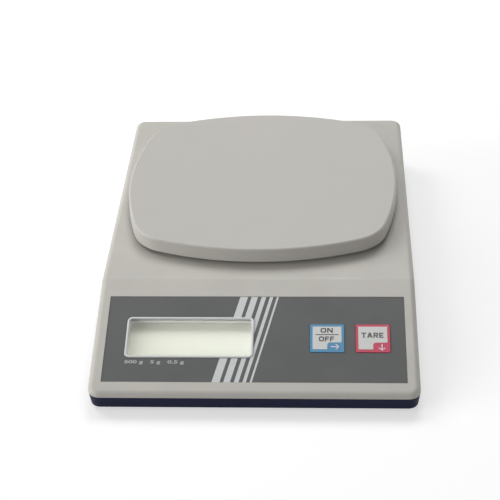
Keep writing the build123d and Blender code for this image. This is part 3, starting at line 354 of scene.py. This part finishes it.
def circuit_board():
    """Green laminate with lighter tracks under the mask."""
    material, tree, shader, place = new_material("circuit_board")
    cells = tree.nodes.new("ShaderNodeTexBrick")
    cells.inputs["Scale"].default_value = 1.0 / (9 * MM)
    cells.inputs["Mortar Size"].default_value = 0.05
    tree.links.new(place, cells.inputs["Vector"])
    tone = blend_colour(tree, cells.outputs["Fac"], linear(28, 92, 52), linear(48, 124, 72))
    tree.links.new(tone, shader.inputs["Base Color"])
    tree.links.new(spread(tree, noise(tree, place, 4 * MM, 3.0), 0.3, 0.4), shader.inputs["Roughness"])
    return material


blue_ink = ink("blue_ink", linear(62, 132, 172))
crimson_ink = ink("crimson_ink", linear(190, 45, 80))
pale_ink = ink("pale_ink", linear(208, 209, 206))
dark_ink = ink("dark_ink", linear(58, 61, 63))
silver_ink = ink("silver_ink", linear(212, 214, 214))
rating_ink = ink("rating_ink", linear(176, 178, 178))
arrow_ink = ink("arrow_ink", linear(222, 214, 222))
# Painted shade: near-black ink for the flat crosses that stand in for the shade in the screw heads' cross
# recesses
painted_recess_shade = ink("painted_recess_shade", linear(30, 30, 31))

FINISHES = {
    housing_grey: ("upper_housing",),
    base_blue: ("lower_housing", "battery_cover"),
    plate_grey: ("weighing_plate",),
    printed_sheet(): ("control_overlay",),
    clear_pane(): ("display_window",),
    display_face(): ("display_glass",),
    circuit_board(): ("main_board",),
    blue_ink: ("on_off_key",),
    crimson_ink: ("tare_key",),
    white_plastic_and_painted_light: ("display_holder",),
    nylon: ("board_connectors",),
    grey_plastic: ("on_off_plunger", "tare_plunger"),
    black_plastic: ("board_chips", "on_off_switch", "tare_switch", "battery_snap", "power_socket"),
    black_rubber: (
        "display_strips",
        "foot_front_left",
        "foot_front_right",
        "foot_rear_left",
        "foot_rear_right",
        "bumper_front_left",
        "bumper_front_right",
        "bumper_rear_left",
        "bumper_rear_right",
    ),
    screw_steel: (
        "board_screws",
        "cell_screws",
        "carrier_screws",
        "overload_screw",
        "overload_nut",
        "housing_screws",
    ),
    cell_aluminium: ("load_cell", "cell_spacer", "carrier_spacer"),
    cast_aluminium: ("load_carrier",),
    silicone: ("gauge_covers",),
    battery_steel: ("battery",),
    jacket_red: ("battery_leads",),
    jacket_black: ("socket_leads",),
    jacket_grey: ("cell_cable",),
}
for finish, names in FINISHES.items():
    for name in names:
        for slot in nodes[name].material_slots:
            slot.material = finish


# New pieces


def add_piece(name, points, faces, material, body, smooth=True):
    """Puts a mesh into the scene, with outward normals, and lets it ride on a body."""
    mesh = bpy.data.meshes.new(name)
    mesh.from_pydata(points, [], faces)
    mesh.validate()
    mesh.polygons.foreach_set("use_smooth", np.full(len(mesh.polygons), smooth))
    mesh.materials.append(material)
    piece = bpy.data.objects.new(name, mesh)
    bpy.context.scene.collection.objects.link(piece)
    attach(piece, body)
    return piece


def flat_print(name, outline, place, lift, material, body, face=PANEL):
    """Thin layer of ink: an outline in millimetres about a place on a face.

    The upper face is the outline lifted by lift and INK, the lower one is the outline lifted by lift less
    INK, in the other order, and quads join them.
    """
    outline = np.array(outline) * MM
    across, down = place[0] + outline[:, 0], place[1] + outline[:, 1]
    if np.sum(outline[:, 0] * np.roll(outline[:, 1], -1) - np.roll(outline[:, 0], -1) * outline[:, 1]) > 0:
        across, down = across[::-1], down[::-1]
    count = len(outline)
    upper = on_face(face, across, down, lift + INK)
    lower = on_face(face, across, down, lift - INK)
    points = np.concatenate([upper, lower])
    index = np.arange(count)
    after = (index + 1) % count
    sides = np.stack([index, index + count, after + count, after], -1).tolist()
    faces = [index.tolist(), (index[::-1] + count).tolist(), *sides]
    return add_piece(name, points, faces, material, body, smooth=False)


def arc(centre, radius, start, end, steps=8):
    """Points of an arc in millimetres, with angles in quarter turns."""
    turn = np.linspace(start, end, steps + 1) * pi / 2
    return np.stack([centre[0] + radius * np.cos(turn), centre[1] + radius * np.sin(turn)], -1)


def rounded_box_path(size, radius, steps=10):
    """Outline of a rectangle with round corners, anticlockwise from the lower right, and its outward vectors.

    Each corner is a quarter circle about a point drawn in by the radius: the angle runs evenly over the
    quarter, and each corner starts a quarter turn on from the last one.
    """
    half = np.array(size) / 2
    signs = np.array(((1, -1), (1, 1), (-1, 1), (-1, -1)))
    turn = np.linspace(0, pi / 2, steps + 1)[None, :] + (np.arange(4) * pi / 2 - pi / 2)[:, None]
    away = np.stack([np.cos(turn), np.sin(turn)], -1)
    points = signs[:, None] * half + (away - signs[:, None]) * radius
    return points.reshape(-1, 2), away.reshape(-1, 2)


def carried_round(name, size, radius, section, material):
    """Closed section carried round a rounded rectangle about the window's middle.

    A point is the rectangle's point, less the section's inward distance times the outward vector there,
    lifted square off the panel by the section's height.
    """
    low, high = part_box("display_window")
    across, down = panel_place((low + high) / 2)
    path, away = rounded_box_path(size, radius, 12)
    inward, lift = np.array(section).T
    flat = path[:, None] - inward[None, :, None] * away[:, None]
    points = on_face(PANEL, across + flat[..., 0], down - flat[..., 1], lift[None, :])
    around, corners = len(path), len(inward)
    i, j = (a.ravel() for a in np.meshgrid(np.arange(around), np.arange(corners), indexing="ij"))
    next_i, next_j = (i + 1) % around, (j + 1) % corners
    quads = (i * corners + j, next_i * corners + j, next_i * corners + next_j, i * corners + next_j)
    return add_piece(name, points.reshape(-1, 3), np.stack(quads, -1).tolist(), material, "housing")


def rim_section():
    """Section of the silver line: a skin on the rim, with a quarter circle at each upper edge."""
    turn = np.linspace(0, pi / 2, 6)
    rise = RIM_EDGE * (1 - np.cos(turn))
    sink = RIM_EDGE * (1 - np.sin(turn))
    outer = np.stack([rise - INK, RIM_TOP - sink + INK], -1)
    inner = np.stack([RIM_WIDTH - rise + INK, RIM_TOP - sink + INK], -1)[::-1]
    foot = [(RIM_WIDTH + INK, -RIM_SKIRT), (RIM_WIDTH - INK, -RIM_SKIRT), (RIM_WIDTH - INK, 0.0)]
    return [(INK, 0.0), (-INK, 0.0), *outer, *inner, *foot]


def frame_section():
    """Section of the frame, whose white is painted light on the walls round the display: a plain rectangle
    from under the pane down to the glass.
    """
    top = frame_height("display_window", -1) - FRAME_GAP
    bottom = frame_height("display_glass", 1) + FRAME_GAP
    return [(0.0, bottom), (0.0, top), (FRAME_WALL, top), (FRAME_WALL, bottom)]


def frame_height(node, side):
    """Height over the sheet's face of a flat piece's upper or lower face, for side 1 or -1."""
    corners = np.array([corner.co for corner in nodes[node].data.vertices])
    heights = (corners - SHEET_CORNER) @ OUT_OF_PANEL
    return heights.max() if side > 0 else heights.min()


def key_field_outline():
    """Pale field of a key: a rectangle whose lower right corner the tab takes, round at the tab's corner."""
    left, top, right, bottom = KEY_FIELD
    tab_left, tab_top = KEY_TAB
    notch = arc((tab_left + KEY_TAB_CORNER, tab_top + KEY_TAB_CORNER), KEY_TAB_CORNER, 2, 3)
    corners = [(left, bottom), (left, top), (right, top), (right, tab_top)]
    return np.concatenate([np.array(corners), notch[::-1], [(tab_left, bottom)]])


def arrow_outline(centre, turns):
    """Arrow with a straight shaft and two barbs, drawn to the right and turned by quarter turns."""
    slant = ARROW_THICK * sin(pi / 4)
    neck = ARROW_SHAFT - 2 * ARROW_THICK
    outer, inner = ARROW_BARB + slant, ARROW_BARB - slant
    points = np.array((
        (-ARROW_SHAFT, -ARROW_THICK),
        (neck, -ARROW_THICK),
        (ARROW_SHAFT - outer, -inner),
        (ARROW_SHAFT - inner, -outer),
        (ARROW_SHAFT + slant, 0.0),
        (ARROW_SHAFT - inner, outer),
        (ARROW_SHAFT - outer, inner),
        (neck, ARROW_THICK),
        (-ARROW_SHAFT, ARROW_THICK),
    ))
    turn = turns * pi / 2
    spin = np.array(((cos(turn), sin(turn)), (-sin(turn), cos(turn))))
    return points @ spin + np.array(centre)


def letter_outlines(letter, width, height, stroke):
    """Closed outlines of a plain block capital from its lower left corner.

    An outline that lies inside another is a hole.
    Upright and level strokes are one stroke thick, and slanting ones a little more along the line.
    """
    slant = SLANT_STROKE * stroke
    if letter == "O":
        centre = (width / 2, height / 2)
        outer = rounded_box_path((width, height), ROUND_OUTER)[0]
        inner = rounded_box_path((width - 2 * stroke, height - 2 * stroke), ROUND_INNER)[0]
        return [outer + centre, inner + centre]
    if letter == "N":
        notch = height * stroke / (width - slant)
        half = [(stroke, 0), (0, 0), (0, height), (slant, height), (width - stroke, notch)]
        return [np.array([*half, *[(width - x, height - y) for x, y in half]])]
    if letter == "T":
        stem, under = (width - stroke) / 2, height - stroke
        half = [(stem, 0), (stem, under), (0, under), (0, height)]
        return [np.array([*half, *[(width - x, y) for x, y in half[::-1]]])]
    if letter in "EF":
        arm = ARM_SHARE * width
        high, low = (height + stroke) / 2, (height - stroke) / 2
        upper = [(0, height), (width, height), (width, height - stroke), (stroke, height - stroke)]
        arms = [(stroke, high), (arm, high), (arm, low), (stroke, low)]
        foot = [(stroke, 0)] if letter == "F" else [(stroke, stroke), (width, stroke), (width, 0)]
        return [np.array([(0, 0), *upper, *arms, *foot])]
    if letter == "A":
        lean = (width / 2 - PEAK_SHARE * stroke) / height
        bar_low = BAR_SHARE * height
        leg = [(slant + lean * bar_low, bar_low), (slant, 0), (0, 0), (lean * height, height)]
        bar_high = bar_low + stroke
        left = slant + lean * bar_high
        peak = (width / 2 - slant) / lean
        outer = np.array([*leg, *[(width - x, y) for x, y in leg[::-1]]])
        return [outer, np.array([(left, bar_high), (width - left, bar_high), (width / 2, peak)])]
    bowl = BOWL_SHARE * height
    upper = arc((width - BOWL_OUTER, height - BOWL_OUTER), BOWL_OUTER, 1, 0)
    lower = arc((width - BOWL_OUTER, bowl + BOWL_OUTER), BOWL_OUTER, 0, -1)
    near, far = (share * width for share in LEG_SHARES)
    leg = [(far, bowl), (width, 0), (width - slant, 0), (near, bowl), (stroke, bowl), (stroke, 0)]
    inner = rounded_box_path((width - 2 * stroke, height - bowl - 2 * stroke), BOWL_INNER)[0]
    outer = np.concatenate([[(0, 0), (0, height)], upper, lower, leg])
    return [outer, inner + (width / 2, (height + bowl) / 2)]


def block_word(text, size, stroke):
    """Flat curve of block capitals side by side, filling a width and a height in millimetres."""
    curve = bpy.data.curves.new(text, "CURVE")
    curve.dimensions = "2D"
    curve.fill_mode = "BOTH"
    unit = (size[0] - LETTER_GAP * (len(text) - 1)) / sum(LETTER_WIDTHS[letter] for letter in text)
    left = 0.0
    for letter in text:
        for outline in letter_outlines(letter, unit * LETTER_WIDTHS[letter], size[1], stroke):
            spline = curve.splines.new("POLY")
            spline.points.add(len(outline) - 1)
            corners = np.tile((left, 0.0, 0.0, 1.0), (len(outline), 1))
            corners[:, :2] += outline
            spline.points.foreach_set("co", corners.ravel())
            spline.use_cyclic_u = True
        left += unit * LETTER_WIDTHS[letter] + LETTER_GAP
    return curve


def plain_text(text, size, weight):
    """Curve of a text in the plain built-in face, with strokes thickened by weight on each side."""
    curve = bpy.data.curves.new(text, "FONT")
    curve.body = text
    curve.size = size
    curve.offset = weight
    return curve


def lettering(name, curve, place, middle, size, lift, material, body):
    """Curve of letters made a mesh and laid on the panel, middle millimetres across and down from a place.

    The letters are drawn out to fill size: their whole width, and the height from lowest to highest point.
    """
    curve.extrude = INK / MM
    writer = bpy.data.objects.new(name + "_curve", curve)
    bpy.context.scene.collection.objects.link(writer)
    bpy.context.view_layer.update()
    mesh = bpy.data.meshes.new_from_object(writer.evaluated_get(bpy.context.evaluated_depsgraph_get()))
    bpy.data.objects.remove(writer)
    local = np.empty(len(mesh.vertices) * 3, np.float32)
    mesh.vertices.foreach_get("co", local)
    local = local.reshape(-1, 3).astype(float)
    least, most = local.min(0), local.max(0)
    share = (local - (least + most) / 2) / (most - least)
    across = place[0] + (middle[0] + share[:, 0] * size[0]) * MM
    down = place[1] + (middle[1] - share[:, 1] * size[1]) * MM
    points = on_face(PANEL, across, down, lift + local[:, 2] * MM)
    mesh.vertices.foreach_set("co", points.astype(np.float32).ravel())
    mesh.materials.clear()
    mesh.materials.append(material)
    mesh.name = name
    piece = bpy.data.objects.new(name, mesh)
    bpy.context.scene.collection.objects.link(piece)
    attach(piece, body)
    return piece


def key_centre(key):
    """Centre of a key on the panel, from its switch below."""
    low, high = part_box(f"{key}_switch")
    return panel_place((low + high) / 2)


for key, (arrow_at, turns) in ARROWS.items():
    place = key_centre(key)
    body, slot = f"{key}_key", f"{key}_print"
    flat_print(f"{key}_field", key_field_outline(), place, KEY_LIFT + INK, pale_ink, body)
    flat_print(f"{key}_arrow", arrow_outline(arrow_at, turns), place, KEY_LIFT + INK, arrow_ink, body)

LETTERS_LIFT = KEY_LIFT + 2 * INK
for name, text, key, middle, size in WORDS:
    curve = block_word(text, size, LETTER_STROKE)
    place, body, slot = key_centre(key), f"{key}_key", f"{key}_print"
    lettering(name, curve, place, middle, size, LETTERS_LIFT, dark_ink, body)
flat_print("on_off_bar", BAR, key_centre("on_off"), LETTERS_LIFT, dark_ink, "on_off_key")

carried_round("rim_line", RIM_SIZE, RIM_CORNER, rim_section(), silver_ink)
# Painted light: the white frame lines the walls round the display so that they look lit where the lamps leave
# them in shade
carried_round("display_frame", FRAME_SIZE, FRAME_CORNER, frame_section(), white_plastic_and_painted_light)
rating_at = np.array(RATING_PLACE) * MM
rating = plain_text("500 g   5 g   0.5 g", RATING_FONT_SIZE, RATING_WEIGHT)
lettering("rating", rating, rating_at, (0, 0), RATING_SIZE, INK, rating_ink, "housing")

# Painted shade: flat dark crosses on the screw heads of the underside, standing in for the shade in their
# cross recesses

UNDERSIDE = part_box("lower_housing")[0].z
UNDER = (np.array((0.0, 0.0, UNDERSIDE)), *np.array(((1.0, 0.0, 0.0), (0.0, 1.0, 0.0), (0.0, 0.0, -1.0))))


def solids(node):
    """Centre and lowest point of each separate solid of a CAD node.

    Each corner starts with its own label, and the lower label spreads along the edges until none changes.
    """
    mesh = nodes[node].data
    corners = np.array([corner.co for corner in mesh.vertices])
    spots, corner_spot = np.unique(np.round(corners / SAME_SPOT).astype(int), axis=0, return_inverse=True)
    corner_spot = corner_spot.ravel()
    edges = corner_spot[np.array([edge.vertices[:] for edge in mesh.edges])]
    label = np.arange(len(spots))
    while True:
        least = np.minimum(label[edges[:, 0]], label[edges[:, 1]])
        lowered = label.copy()
        np.minimum.at(lowered, edges[:, 0], least)
        np.minimum.at(lowered, edges[:, 1], least)
        if np.array_equal(lowered, label):
            break
        label = lowered
    of_corner = label[corner_spot]
    groups = [corners[of_corner == one] for one in np.unique(of_corner)]
    return [((group.min(0) + group.max(0)) / 2, group[:, 2].min()) for group in groups]


def cross_outline(reach, half):
    """Cross with four equal arms, drawn corner by corner a quarter turn at a time."""
    arm = np.array(((reach, -half), (reach, half), (half, half)))
    quarter = np.array(((0.0, 1.0), (-1.0, 0.0)))
    return np.concatenate([arm @ np.linalg.matrix_power(quarter, turns) for turns in range(4)])


# Painted shade: one dark cross on the lowest face of each screw head, where their cross recesses would lie in
# shade
for node, reach in SHADE_CROSS_REACH.items():
    for index, (centre, low) in enumerate(solids(node)):
        name = f"{node}_recess_{index}"
        outline = cross_outline(reach, SHADE_CROSS_HALF)
        lift = UNDERSIDE - low
        flat_print(name, outline, centre[:2], lift, painted_recess_shade, "housing", face=UNDER)

# Floor, lamps, world and camera

FLOOR_HALF = 6.0
FLOOR_GLOW = 0.52
FAR_GLOW = 0.42
FAR_START = 0.8
FAR_END = 2.6
FLOOR_CELLS = 24
steps = np.linspace(-FLOOR_HALF, FLOOR_HALF, FLOOR_CELLS + 1)
grid_x, grid_y = np.meshgrid(steps, steps, indexing="ij")
floor_points = np.stack([grid_x.ravel(), grid_y.ravel(), np.zeros(grid_x.size)], -1)
i, j = (a.ravel() for a in np.meshgrid(np.arange(FLOOR_CELLS), np.arange(FLOOR_CELLS), indexing="ij"))
row = FLOOR_CELLS + 1
floor_faces = np.stack([i * row + j, (i + 1) * row + j, (i + 1) * row + j + 1, i * row + j + 1], -1)
floor_mesh = bpy.data.meshes.new("floor")
floor_mesh.from_pydata(floor_points, [], floor_faces.tolist())
floor = bpy.data.objects.new("floor", floor_mesh)
bpy.context.scene.collection.objects.link(floor)


def sees_backdrop(tree):
    """1 for a ray from the camera, straight or by way of gloss or glass, else 0.

    It is 0 as well once the ray has met a dull surface.
    """
    ray = tree.nodes.new("ShaderNodeLightPath").outputs
    seen = calc(tree, "MAXIMUM", ray["Is Camera Ray"], ray["Is Glossy Ray"])
    seen = calc(tree, "MAXIMUM", seen, ray["Is Transmission Ray"])
    return calc(tree, "MULTIPLY", seen, calc(tree, "LESS_THAN", ray["Diffuse Depth"], 0.5))


def pale_floor():
    """Pale floor that shows white to the camera and in reflections, and keeps the shadow."""
    material, tree, shader, place = new_material("pale_floor")
    tone = blend_colour(tree, noise(tree, place, 0.4, 2.0), (0.59, 0.59, 0.59), (0.61, 0.61, 0.61))
    tree.links.new(tone, shader.inputs["Base Color"])
    shader.inputs["Roughness"].default_value = 0.9
    shader.inputs["Specular IOR Level"].default_value = 0.0
    reach = tree.nodes.new("ShaderNodeVectorMath")
    reach.operation = "LENGTH"
    tree.links.new(place, reach.inputs[0])
    far = calc(tree, "SUBTRACT", reach.outputs["Value"], FAR_START)
    far = calc(tree, "DIVIDE", far, FAR_END - FAR_START, clamp=True)
    level = calc(tree, "MULTIPLY_ADD", far, FAR_GLOW, FLOOR_GLOW)
    glow = calc(tree, "MULTIPLY", sees_backdrop(tree), level)
    shader.inputs["Emission Color"].default_value = (1.0, 1.0, 1.0, 1.0)
    tree.links.new(glow, shader.inputs["Emission Strength"])
    return material


floor.data.materials.append(pale_floor())

world = bpy.data.worlds.new("studio")
bpy.context.scene.world = world
world.use_nodes = True
sky = world.node_tree
WORLD_STRENGTH = 0.16
strength = calc(sky, "MULTIPLY_ADD", sees_backdrop(sky), 1.0 - WORLD_STRENGTH, WORLD_STRENGTH)
sky.links.new(strength, sky.nodes["Background"].inputs["Strength"])
sky.nodes["Background"].inputs["Color"].default_value = (1.0, 1.0, 1.0, 1.0)


def soft_lamp(name, place, aim, size, power):
    """Square area lamp at place, turned toward aim."""
    light = bpy.data.lights.new(name, "AREA")
    light.shape = "SQUARE"
    light.size = size
    light.energy = power
    lamp = bpy.data.objects.new(name, light)
    lamp.location = place
    lamp.rotation_euler = (Vector(aim) - Vector(place)).to_track_quat("-Z", "Y").to_euler()
    bpy.context.scene.collection.objects.link(lamp)
    return lamp


soft_lamp("lamp_rear_left", (-0.85, 0.6, 1.1), (0.0, 0.0, 0.0), 0.75, 7.2)
soft_lamp("lamp_rear", (0.1, 0.75, 1.2), (0.0, 0.0, 0.0), 0.6, 7.2)
soft_lamp("lamp_left", (-2.3, -0.5, 0.5), (0.0, 0.0, 0.02), 1.1, 27.0)
soft_lamp("lamp_front_left", (-1.6, -1.2, 0.5), (0.0, 0.0, 0.02), 0.8, 10.0)
soft_lamp("lamp_right", (2.3, -0.9, 0.8), (0.0, 0.0, 0.02), 1.0, 10.0)

camera_data = bpy.data.cameras.new("camera")
camera_data.lens = CAMERA_LENS
camera_data.sensor_width = 36.0
camera_data.clip_start = 0.01
camera = bpy.data.objects.new("camera", camera_data)
bpy.context.scene.collection.objects.link(camera)
level = cos(CAMERA_PITCH)
toward = Vector((sin(CAMERA_YAW) * level, cos(CAMERA_YAW) * level, -sin(CAMERA_PITCH)))
level_right = Vector((cos(CAMERA_YAW), -sin(CAMERA_YAW), 0.0))
level_down = toward.cross(level_right)
right = cos(CAMERA_ROLL) * level_right + sin(CAMERA_ROLL) * level_down
down = -sin(CAMERA_ROLL) * level_right + cos(CAMERA_ROLL) * level_down
camera.matrix_world = Matrix.Translation(CAMERA_PLACE) @ Matrix((right, -down, -toward)).transposed().to_4x4()
bpy.context.scene.camera = camera
bpy.context.scene.view_settings.view_transform = "Standard"
